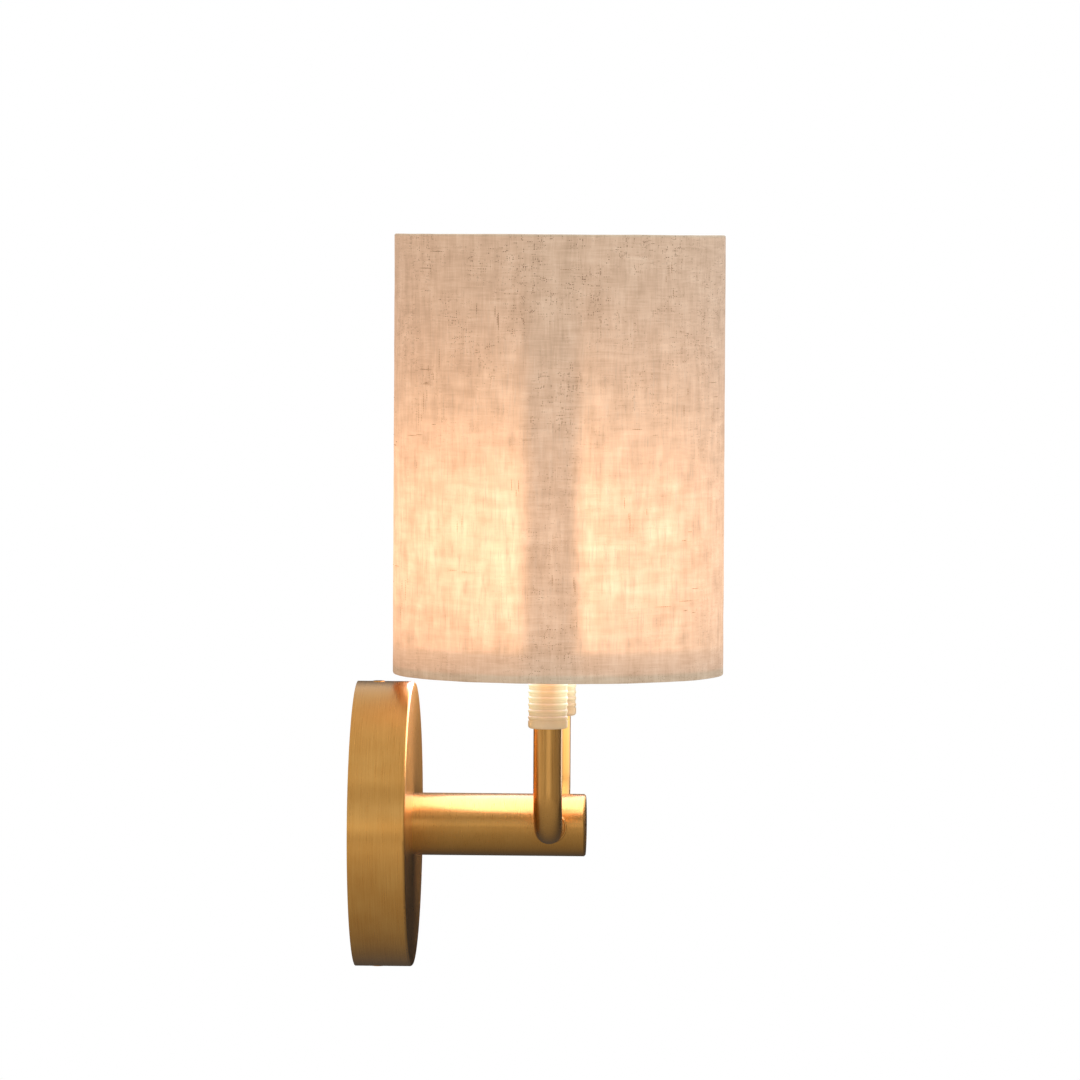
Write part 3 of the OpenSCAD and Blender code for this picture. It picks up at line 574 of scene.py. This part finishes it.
def folded_cloth():
    """The cloth's middle line as radius and height: lower hem, round the ring, up the wall and in again."""
    half = LINEN_T / 2
    hem_r = SHADE_R - LINEN_T - LINER_T - half
    wall_r = SHADE_R - half
    corner_r = FOLD_EDGE_R - half
    low_wire = (ring_high.z - ring_low.z) / 2
    low_ring = ((ring_high.y - ring_low.y) / 2 - low_wire, (ring_high.z + ring_low.z) / 2)
    top_wire = (upper_ring_high.z - upper_ring_low.z) / 2
    top_ring = ((upper_ring_high.y - upper_ring_low.y) / 2 - top_wire,
                (upper_ring_high.z + upper_ring_low.z) / 2)
    wire_steps = 12
    corner_steps = 4

    points = [(hem_r, SHADE_BOTTOM + HEM_LOW), (hem_r, SHADE_BOTTOM + HEM_LOW * 0.7),
              (hem_r, ring_high.z + 3 * half)]
    points += arc(low_ring, low_wire + half, 90, 270, wire_steps)
    points += arc((wall_r - corner_r, SHADE_BOTTOM + FOLD_EDGE_R), corner_r, 270, 360, corner_steps)
    rows = 84
    low = SHADE_BOTTOM + FOLD_EDGE_R
    high = SHADE_TOP - FOLD_EDGE_R
    points += [(wall_r, low + (high - low) * i / rows) for i in range(1, rows)]
    points += arc((wall_r - corner_r, high), corner_r, 0, 90, corner_steps)
    points += arc(top_ring, top_wire + half, 90, 270, wire_steps)
    points += [(hem_r, upper_ring_low.z - 3 * half), (hem_r, SHADE_TOP - HEM_TOP)]
    return points


def shade_cloth():
    """The woven wall of the shade with both hems, turned up ring by ring from its lower hem."""
    select_none()
    line = folded_cloth()
    columns = 240
    bpy.ops.mesh.primitive_circle_add(vertices=columns, radius=line[0][0],
                                      location=(SHADE_X, 0.0, line[0][1]))
    cloth = bpy.context.object
    cloth.name = "linen_shade"
    bpy.ops.object.mode_set(mode="EDIT")
    bpy.ops.mesh.select_all(action="SELECT")
    for before, after in zip(line, line[1:]):
        size = after[0] / before[0]
        bpy.ops.mesh.extrude_edges_move(TRANSFORM_OT_translate={"value": (0.0, 0.0, after[1] - before[1])})
        bpy.ops.transform.resize(value=(size, size, 1.0), center_override=(SHADE_X, 0.0, after[1]))
    bpy.ops.object.mode_set(mode="OBJECT")
    bpy.ops.object.transform_apply(location=True, rotation=True, scale=True)
    return cloth, line


def length_along(line):
    """The length of the cloth from its lower hem to each point of its middle line."""
    lengths = [0.0]
    for before, after in zip(line, line[1:]):
        lengths.append(lengths[-1] + math.dist(before, after))
    return lengths


def lay_threads(cloth, line):
    """Gives the cloth its own map, in metres round the shade and along the fold."""
    lengths = length_along(line)
    places = {}
    for vertex in cloth.data.vertices:
        radius = math.hypot(vertex.co.x - SHADE_X, vertex.co.y)
        nearest = min(range(len(line)),
                      key=lambda i: abs(line[i][0] - radius) + abs(line[i][1] - vertex.co.z))
        places[vertex.index] = (math.atan2(vertex.co.y, vertex.co.x - SHADE_X), lengths[nearest])
    layer = cloth.data.uv_layers.new(name="cloth")
    for face in cloth.data.polygons:
        turned = any(places[v][0] > math.pi / 2 for v in face.vertices)
        for corner, vertex in zip(face.loop_indices, face.vertices):
            angle, along = places[vertex]
            if turned and angle < 0:
                angle += 2 * math.pi
            layer.data[corner].uv = ((angle + math.pi) * SHADE_R, along)


def glue_seam(cloth):
    """Lifts one end of the cloth over the other at the back, where they are glued."""
    lap = SEAM_LAP / SHADE_R
    for vertex in cloth.data.vertices:
        side = vertex.co.x - SHADE_X
        radius = math.hypot(side, vertex.co.y)
        turn = math.pi - abs(math.atan2(vertex.co.y, side))
        if vertex.co.y >= -1e-6 and turn < lap and radius > SHADE_R - 2 * LINEN_T:
            lift = 1.0 + SEAM_STEP * (1.0 - turn / lap) / radius
            vertex.co.x = SHADE_X + side * lift
            vertex.co.y *= lift


def cut_slits(cloth):
    """Opens the inner fold where the fitter's bar passes to the ring."""
    bar_x = (fitter_low.x + fitter_high.x) / 2
    ring_z = (ring_low.z + ring_high.z) / 2
    over_bar = fitter_high.z + 0.001
    select_none()
    for face in cloth.data.polygons:
        middle = face.center
        radius = math.hypot(middle.x - SHADE_X, middle.y)
        inner = radius < SHADE_R - LINEN_T - LINER_T
        by_bar = abs(middle.x - bar_x) < SLIT_HALF and ring_z < middle.z < over_bar
        face.select = inner and by_bar
    cloth.select_set(True)
    bpy.context.view_layer.objects.active = cloth
    bpy.ops.object.mode_set(mode="EDIT")
    bpy.ops.mesh.delete(type="FACE")
    bpy.ops.object.mode_set(mode="OBJECT")


def apply_modifiers(piece):
    select_none()
    piece.select_set(True)
    bpy.context.view_layer.objects.active = piece
    for modifier in list(piece.modifiers):
        bpy.ops.object.modifier_apply(modifier=modifier.name)


def straight_slub(crossings):
    """A thick place of a thread, laid along X: thin at its ends, held down by each thread across it."""
    steps = 4 * crossings
    length = 2 * THREAD_PITCH * crossings
    rings = []
    for i in range(steps + 1):
        share = i / steps
        size = SLUB_R * (0.3 + 0.7 * math.sin(math.pi * share) ** 0.7)
        rise = -0.00004 - 0.00012 * math.cos(2 * math.pi * crossings * share)
        rings.append((length * (share - 0.5), size, rise))
    select_none()
    along, size, rise = rings[0]
    bpy.ops.mesh.primitive_circle_add(vertices=5, radius=size, fill_type="NGON", location=(along, 0.0, rise),
                                      rotation=(0.0, math.radians(90), 0.0))
    bpy.ops.object.transform_apply(location=True, rotation=True, scale=True)
    slub = bpy.context.object
    bpy.ops.object.mode_set(mode="EDIT")
    bpy.ops.mesh.select_all(action="SELECT")
    for before, after in zip(rings, rings[1:]):
        step = (after[0] - before[0], 0.0, after[2] - before[2])
        grown = after[1] / before[1]
        bpy.ops.mesh.extrude_region_move(TRANSFORM_OT_translate={"value": step})
        bpy.ops.transform.resize(value=(1.0, grown, grown), center_override=(after[0], 0.0, after[2]))
    bpy.ops.mesh.select_all(action="SELECT")
    bpy.ops.mesh.normals_make_consistent(inside=False)
    bpy.ops.object.mode_set(mode="OBJECT")
    return slub


def lay_slub(pattern, wall, turn, height, upright):
    """A copy of a slub, bent on to the wall along the warp or the weft."""
    slub = pattern.copy()
    slub.data = pattern.data.copy()
    bpy.context.scene.collection.objects.link(slub)
    for vertex in slub.data.vertices:
        along, across, out = vertex.co
        round_it, up_it = (across, along) if upright else (along, across)
        angle = turn + round_it / SHADE_R
        outward = Vector((math.cos(angle), math.sin(angle), 0.0))
        start = Vector((SHADE_X, 0.0, height + up_it)) + outward * (SHADE_R + 0.01)
        spot = wall.ray_cast(start, -outward, 0.015)[0]
        vertex.co = spot + outward * out
    return slub


def strew_slubs(cloth, material):
    """Slubs in loose groups all over the wall, in one thread direction in each group."""
    chance = random.Random(23)
    patterns = [straight_slub(crossings) for crossings in (3, 5, 9)]
    wall = BVHTree.FromObject(cloth, bpy.context.evaluated_depsgraph_get())
    edge = 0.016
    slide_reach = 0.014
    laid = []
    for group in range(SLUB_GROUPS):
        turn = chance.uniform(-math.pi, math.pi)
        height = chance.uniform(SHADE_BOTTOM + edge, SHADE_TOP - edge)
        upright = chance.random() < 0.45
        for member in range(chance.randint(2, 5)):
            row = THREAD_PITCH * chance.randint(-12, 12)
            slide = chance.uniform(-slide_reach, slide_reach)
            round_it, up_it = (row, slide * 0.7) if upright else (slide, row)
            pattern = patterns[chance.choice((0, 0, 1, 1, 2))]
            laid.append(lay_slub(pattern, wall, turn + round_it / SHADE_R, height + up_it, upright))
    select_none()
    for pattern in patterns:
        pattern.select_set(True)
    bpy.ops.object.delete()
    for slub in laid:
        slub.select_set(True)
    bpy.context.view_layer.objects.active = laid[0]
    bpy.ops.object.join()
    slubs = bpy.context.object
    slubs.name = "linen_slubs"
    bpy.ops.object.shade_smooth()
    slubs.data.materials.append(material)
    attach(slubs, "shade")
    return slubs


def make_linen_shade(material, slub_material):
    """The folded and glued cloth in place of its plain solid, with its slubs."""
    cloth, line = shade_cloth()
    lay_threads(cloth, line)
    glue_seam(cloth)
    cut_slits(cloth)
    ripple = bpy.data.textures.new("cloth_ripple", "CLOUDS")
    ripple.noise_scale = RIPPLE_SIZE
    lift = cloth.modifiers.new("ripple", "DISPLACE")
    lift.texture = ripple
    lift.strength = RIPPLE_HEIGHT
    lift.mid_level = 0.5
    wall = cloth.modifiers.new("cloth", "SOLIDIFY")
    wall.thickness = LINEN_T
    wall.offset = 0.0
    apply_modifiers(cloth)
    bpy.ops.object.shade_smooth_by_angle(angle=math.radians(50))
    cloth.data.materials.append(material)
    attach(cloth, "shade")
    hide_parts("shade_linen")
    slubs = strew_slubs(cloth, slub_material)


def braze_ring(side, material):
    """The bead of braze round an elbow tube where it enters the arm."""
    select_none()
    bead = 0.0007
    reach = TUBE_R + bead * 0.6
    bpy.ops.mesh.primitive_torus_add(major_radius=reach, minor_radius=bead, major_segments=72,
                                     minor_segments=10, location=(HOLDER_X, 0.0, 0.0),
                                     rotation=(math.radians(90), 0.0, 0.0))
    ring = bpy.context.object
    ring.name = "left_braze_ring" if side < 0 else "right_braze_ring"
    bpy.ops.object.transform_apply(location=True, rotation=True, scale=True)
    for vertex in ring.data.vertices:
        seat = math.sqrt(max(ARM_R ** 2 - vertex.co.z ** 2, 0.0))
        vertex.co.y += side * (seat + bead * 0.2)
    bpy.ops.object.shade_smooth()
    ring.data.materials.append(material)
    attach(ring, "fixture")


def dress_nodes(finishes):
    """Gives every carried-over node the finish of its slot; the elbow tubes and the arm get darker copies of
    the brass, as painted shade.
    """
    for part in frame["record"]["subparts"]:
        node = nodes[part["node"]]
        finish = finishes[part["material_slot"]]
        # Painted shade: the elbow tubes take the darker copy of the brass, with its lines along the tube
        if part["node"] in ("left_elbow_tube", "right_elbow_tube"):
            finish = finishes["shaded_drawn_brass"]
        # Painted shade: the arm and its end cap take the darker copy of the brass
        if part["node"] in ("arm_tube", "arm_end_cap"):
            finish = finishes["shaded_arm_brass"]
        node.data.materials.clear()
        node.data.materials.append(finish)


# Camera, room and lights

CAMERA_TURN = math.radians(2.7034)
CAMERA_RISE = math.radians(2.4982)
CAMERA_ROLL = math.radians(0.3047)
CAMERA_DISTANCE = 3.9953
CAMERA_LENS = 237.69
CAMERA_AIM = Vector((0.1020, 0.0, 0.15996))
FLOOR_Z = -3.0

# Power of the lamps' light in watts, and brightness of the shade's mouth as shiny surfaces see it
LAMP_POWER = 0.16
MOUTH_GLARE = 4.0


def add_camera():
    """The photograph's viewpoint: from the light's left side, slightly from the front and above."""
    data = bpy.data.cameras.new("camera")
    data.lens = CAMERA_LENS
    data.sensor_width = 36.0
    data.clip_end = 50.0
    camera = bpy.data.objects.new("camera", data)
    bpy.context.scene.collection.objects.link(camera)
    level = math.cos(CAMERA_RISE)
    back = Vector((math.sin(CAMERA_TURN) * level, -math.cos(CAMERA_TURN) * level, math.sin(CAMERA_RISE)))
    camera.location = CAMERA_AIM + back * CAMERA_DISTANCE
    turn = (-back).to_track_quat("-Z", "Y").to_matrix().to_4x4()
    camera.rotation_euler = turn.to_euler()
    camera.rotation_euler.rotate_axis("Z", CAMERA_ROLL)
    bpy.context.scene.camera = camera


def light_world():
    """Plain soft light all round; seen directly, in metal or through glass it is the white background."""
    world = bpy.data.worlds.new("studio")
    bpy.context.scene.world = world
    world.use_nodes = True
    tree = world.node_tree
    tree.nodes.clear()
    path = tree.nodes.new("ShaderNodeLightPath")
    seen = tree.nodes.new("ShaderNodeMath")
    seen.operation = "MAXIMUM"
    tree.links.new(path.outputs["Is Camera Ray"], seen.inputs[0])
    shiny = tree.nodes.new("ShaderNodeMath")
    shiny.operation = "MAXIMUM"
    tree.links.new(path.outputs["Is Glossy Ray"], shiny.inputs[0])
    tree.links.new(path.outputs["Is Transmission Ray"], shiny.inputs[1])
    tree.links.new(shiny.outputs[0], seen.inputs[1])
    white = tree.nodes.new("ShaderNodeBackground")
    white.inputs["Strength"].default_value = 1.0
    white.inputs["Color"].default_value = grey(1.0)
    soft = tree.nodes.new("ShaderNodeBackground")
    soft.inputs["Strength"].default_value = 1.0
    soft.inputs["Color"].default_value = grey(1.0)
    mix = tree.nodes.new("ShaderNodeMixShader")
    output = tree.nodes.new("ShaderNodeOutputWorld")
    tree.links.new(seen.outputs[0], mix.inputs[0])
    tree.links.new(soft.outputs[0], mix.inputs[1])
    tree.links.new(white.outputs[0], mix.inputs[2])
    tree.links.new(mix.outputs[0], output.inputs[0])


def soft_box(name, place, aim, size, power):
    """A soft rectangular lamp that faces a point."""
    data = bpy.data.lights.new(name, "AREA")
    data.shape = "RECTANGLE"
    data.size, data.size_y = size
    data.energy = power
    lamp = bpy.data.objects.new(name, data)
    bpy.context.scene.collection.objects.link(lamp)
    lamp.location = place
    lamp.rotation_euler = (Vector(aim) - Vector(place)).to_track_quat("-Z", "Y").to_euler()
    return lamp


def shade_card(name, place, aim, size, tones, tint=(1.0, 0.93, 0.82)):
    """A card that shows only in reflections; its tones run from its lower or back edge."""
    select_none()
    bpy.ops.mesh.primitive_plane_add(size=1.0, location=place)
    card = bpy.context.object
    card.name = name
    card.scale = (size[0], size[1], 1.0)
    card.rotation_euler = (Vector(aim) - Vector(place)).to_track_quat("Z", "Y").to_euler()
    finish = Finish(name)
    height = finish.math("ADD", finish.place()[1], 0.5)
    finish.shade(Base_Color=grey(0.0), Roughness=1.0, Specular_IOR_Level=0.0, Emission_Color=(*tint, 1.0),
                 Emission_Strength=finish.ramp(height, [(share, grey(tone)) for share, tone in tones]))
    card.data.materials.append(finish.material)
    card.visible_camera = False
    card.visible_diffuse = False
    card.visible_transmission = False
    card.visible_shadow = False


def add_floor():
    """A plain pale floor, far enough down that a camera can look up at the light."""
    select_none()
    bpy.ops.mesh.primitive_plane_add(size=14.0, location=(0.0, 0.0, FLOOR_Z))
    floor = bpy.context.object
    floor.name = "floor"
    finish = Finish("floor")
    x, y, z = finish.place()
    grain = finish.noise(finish.point(x, y, z), 30.0, 3.0)
    path = finish.node("LightPath")
    shiny = finish.math("MAXIMUM", path.outputs["Is Glossy Ray"], path.outputs["Is Transmission Ray"])
    seen = finish.math("MAXIMUM", path.outputs["Is Camera Ray"], shiny)
    finish.shade(Base_Color=finish.ramp(grain, [(0.3, grey(0.80)), (0.7, grey(0.84))]), Roughness=0.9,
                 Specular_IOR_Level=0.1, Emission_Color=grey(1.0),
                 Emission_Strength=finish.math("MULTIPLY", seen, 0.35))
    floor.data.materials.append(finish.material)


def lamp_light():
    """Warm light of both lit lamps, which falls out of the shade's openings."""
    data = bpy.data.lights.new("lamp_light", "POINT")
    data.energy = LAMP_POWER
    data.shadow_soft_size = 0.012
    data.color = (1.0, 0.90, 0.74)
    lamp = bpy.data.objects.new("lamp_light", data)
    bpy.context.scene.collection.objects.link(lamp)
    lamp.location = (SHADE_X, 0.0, SHADE_BOTTOM + GLOW_MIDDLE)
    lamp.visible_glossy = False


def mouth_light():
    """The lit shade's bright mouth, as it shows in what shines below it."""
    data = bpy.data.lights.new("mouth_light", "AREA")
    data.shape = "DISK"
    data.size = 2 * (SHADE_R - 0.008)
    data.energy = MOUTH_GLARE * math.pi * math.pi * (data.size / 2) ** 2
    data.color = (0.95, 0.85, 1.25)
    lamp = bpy.data.objects.new("mouth_light", data)
    bpy.context.scene.collection.objects.link(lamp)
    lamp.location = (SHADE_X, 0.0, SHADE_BOTTOM - 0.001)
    lamp.visible_camera = False
    lamp.visible_diffuse = False
    lamp.visible_transmission = False


def light_the_room():
    """Two soft boxes, cards for the brass to reflect, and the light of the lamps themselves."""
    middle = (0.10, 0.0, 0.10)
    overhead = soft_box("overhead_box", (0.1, 0.35, 1.7), middle, (1.5, 1.2), 6.0)
    overhead.visible_glossy = False
    soft_box("front_strip", (0.66, -2.0, 0.6), middle, (0.10, 1.2), 0.42)
    shade_card("card_below", (0.1, 0.0, -0.45), middle, (3.2, 3.2),
               [(0.0, 0.08), (0.3, 0.08), (0.43, 0.16), (0.5, 0.28), (0.58, 0.38), (0.8, 0.53), (1.0, 0.62)])
    shade_card("card_above", (0.1, 0.1, 1.15), (0.1, 0.1, 0.0), (3.0, 3.0), [(0.0, 0.66), (1.0, 0.72)],
               (1.0, 0.97, 0.92))
    shade_card("card_front_low", (0.1, -1.75, -0.27), (0.1, 0.0, -0.27), (3.0, 0.40),
               [(0.0, 0.64), (1.0, 0.74)])
    shade_card("card_front_high", (0.1, -1.75, 1.0), (0.1, 0.0, 1.0), (3.0, 0.6), [(0.0, 0.55), (1.0, 0.45)])
    shade_card("card_front_line", (0.1, -1.5, 0.04), (0.1, 0.0, 0.04), (3.0, 0.12), [(0.0, 1.15)])
    shade_card("card_before", (-0.38, -1.6, 0.2), (0.1, 0.0, 0.2), (0.52, 1.0), [(0.0, 0.14)])
    shade_card("card_front_left", (-1.2, -1.15, 0.1), middle, (1.1, 1.3), [(0.0, 0.55), (1.0, 0.65)])
    shade_card("card_front_right", (1.25, -1.15, 0.1), middle, (1.2, 1.3), [(0.0, 0.36), (1.0, 0.46)])
    shade_card("card_left", (-1.35, -0.2, 0.1), middle, (1.6, 1.4), [(0.0, 0.75), (1.0, 0.85)])
    shade_card("card_right", (1.35, -0.15, 0.1), (0.1, -0.15, 0.1), (0.9, 1.4), [(0.0, 0.28), (1.0, 0.40)])
    shade_card("card_far_right", (1.13, 0.8, 0.225), (0.1, 0.0, 0.225), (1.1, 1.35),
               [(0.0, 0.05), (1.0, 0.12)])
    shade_card("card_behind", (-0.3, 1.3, 0.225), (-0.3, 0.0, 0.225), (2.2, 1.35),
               [(0.0, 0.02), (0.5, 0.02), (0.72, 0.30), (1.0, 0.70)])
    shade_card("card_glow", (0.15, 0.6, 0.03), (0.15, 0.0, 0.03), (0.30, 0.12),
               [(0.0, 0.45), (0.3, 0.42), (0.5, 0.60), (0.68, 1.2), (1.0, 2.0)], (1.0, 0.56, 0.20))
    shade_card("card_by_tube", (0.17, 0.06, 0.05), (0.10, 0.06, 0.05), (0.11, 0.07), [(0.0, 2.0), (1.0, 2.3)],
               (1.0, 0.95, 0.85))
    lamp_light()
    mouth_light()


finishes = {
    "satin_brass": satin_brass("satin_brass", BRASS_DEEP, BRASS_PALE),
    "shaded_arm_brass": satin_brass("shaded_arm_brass", ARM_SHADED_DEEP, ARM_SHADED_PALE),
    "shaded_drawn_brass": satin_brass("shaded_drawn_brass", TUBE_SHADED_DEEP, TUBE_SHADED_PALE, turned=False),
    "bare_brass": bare_brass(),
    "zinc_steel": zinc_steel(),
    "ivory_plastic": ivory_plastic(),
    "milky_holder": milky_holder(),
    "white_ceramic": white_ceramic(),
    "lamp_glass": lamp_glass(),
    "light_strip": light_strip(),
    "nickel_base": nickel_base(),
    "linen": linen(),
    "shade_liner": shade_liner(),
    "ring_steel": ring_steel(),
    "lead_sheath": lead_sheath(),
}

dress_nodes(finishes)
make_linen_shade(finishes["linen"], slub_thread())
for side in (-1, 1):
    braze_ring(side, finishes["shaded_drawn_brass"])
add_camera()
light_world()
add_floor()
light_the_room()
scene = bpy.context.scene
scene.view_settings.view_transform = "Standard"

select_none()
